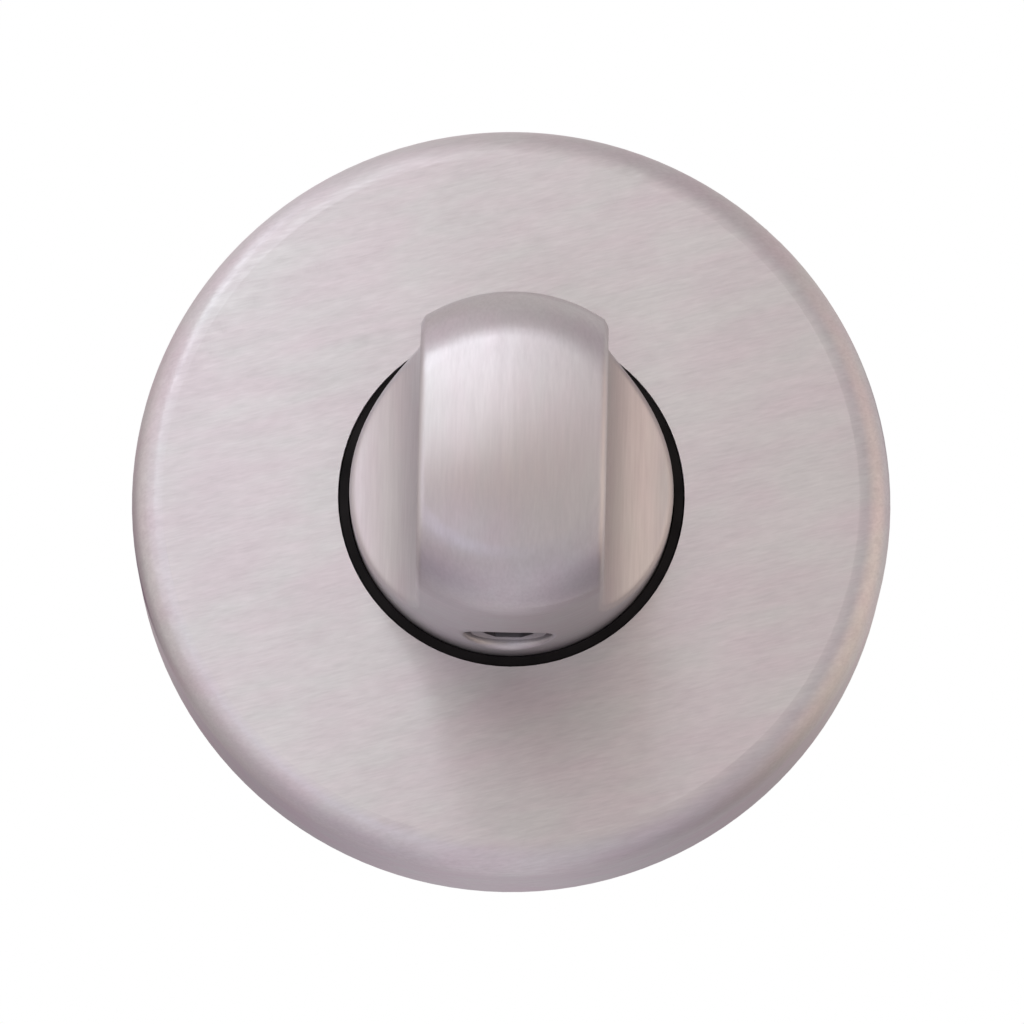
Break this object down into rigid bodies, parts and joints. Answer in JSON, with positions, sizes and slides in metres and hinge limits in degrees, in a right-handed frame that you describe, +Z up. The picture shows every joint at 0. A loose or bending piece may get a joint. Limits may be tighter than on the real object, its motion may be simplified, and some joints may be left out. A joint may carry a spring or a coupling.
{
  "type": "bathroom thumb turn",
  "caption": "Round satin steel rose with a domed thumb turn, coved for finger and thumb on both sides, on a square spindle, with bolts that pass through the door to lock a bathroom.",
  "frame": {"origin": "centre of the rose on the face of the door", "axes": "+Y into the door along the spindle, -Y out towards the user, +Z up, +X to the right as seen from in front"},
  "size_m": [0.052, 0.0794, 0.052],
  "materials": {
    "rose_steel": "satin stainless steel, straight fine grain across the flat face",
    "knob_steel": "satin stainless steel, fine grain along the rib and the coves",
    "black_nylon": "plain black nylon",
    "cast_zinc": "tumbled zinc casting, dull grey",
    "spring_steel": "oiled spring steel",
    "plated_steel": "bright zinc plated steel",
    "screw_steel": "plain stainless steel"
  },
  "bodies": {
    "rose": {"rose_cover": "rose_steel", "mounting_plate": "cast_zinc", "bearing_bush": "black_nylon", "thrust_washer": "plated_steel", "cover_clip_1": "spring_steel", "cover_clip_2": "spring_steel", "cover_clip_3": "spring_steel", "cover_clip_4": "spring_steel", "through_bolts": "plated_steel"},
    "turn": {"thumb_turn": "knob_steel", "grub_screw": "screw_steel", "spindle": "plated_steel", "spindle_sleeve": "plated_steel", "wave_washer": "spring_steel", "circlip": "spring_steel"}
  },
  "joints": [
    {"name": "quarter_turn", "type": "hinge", "parent": "rose", "child": "turn", "pos_m": [0, 0, 0], "axis": [0, 1, 0], "range_deg": [0, 90]}
  ]
}
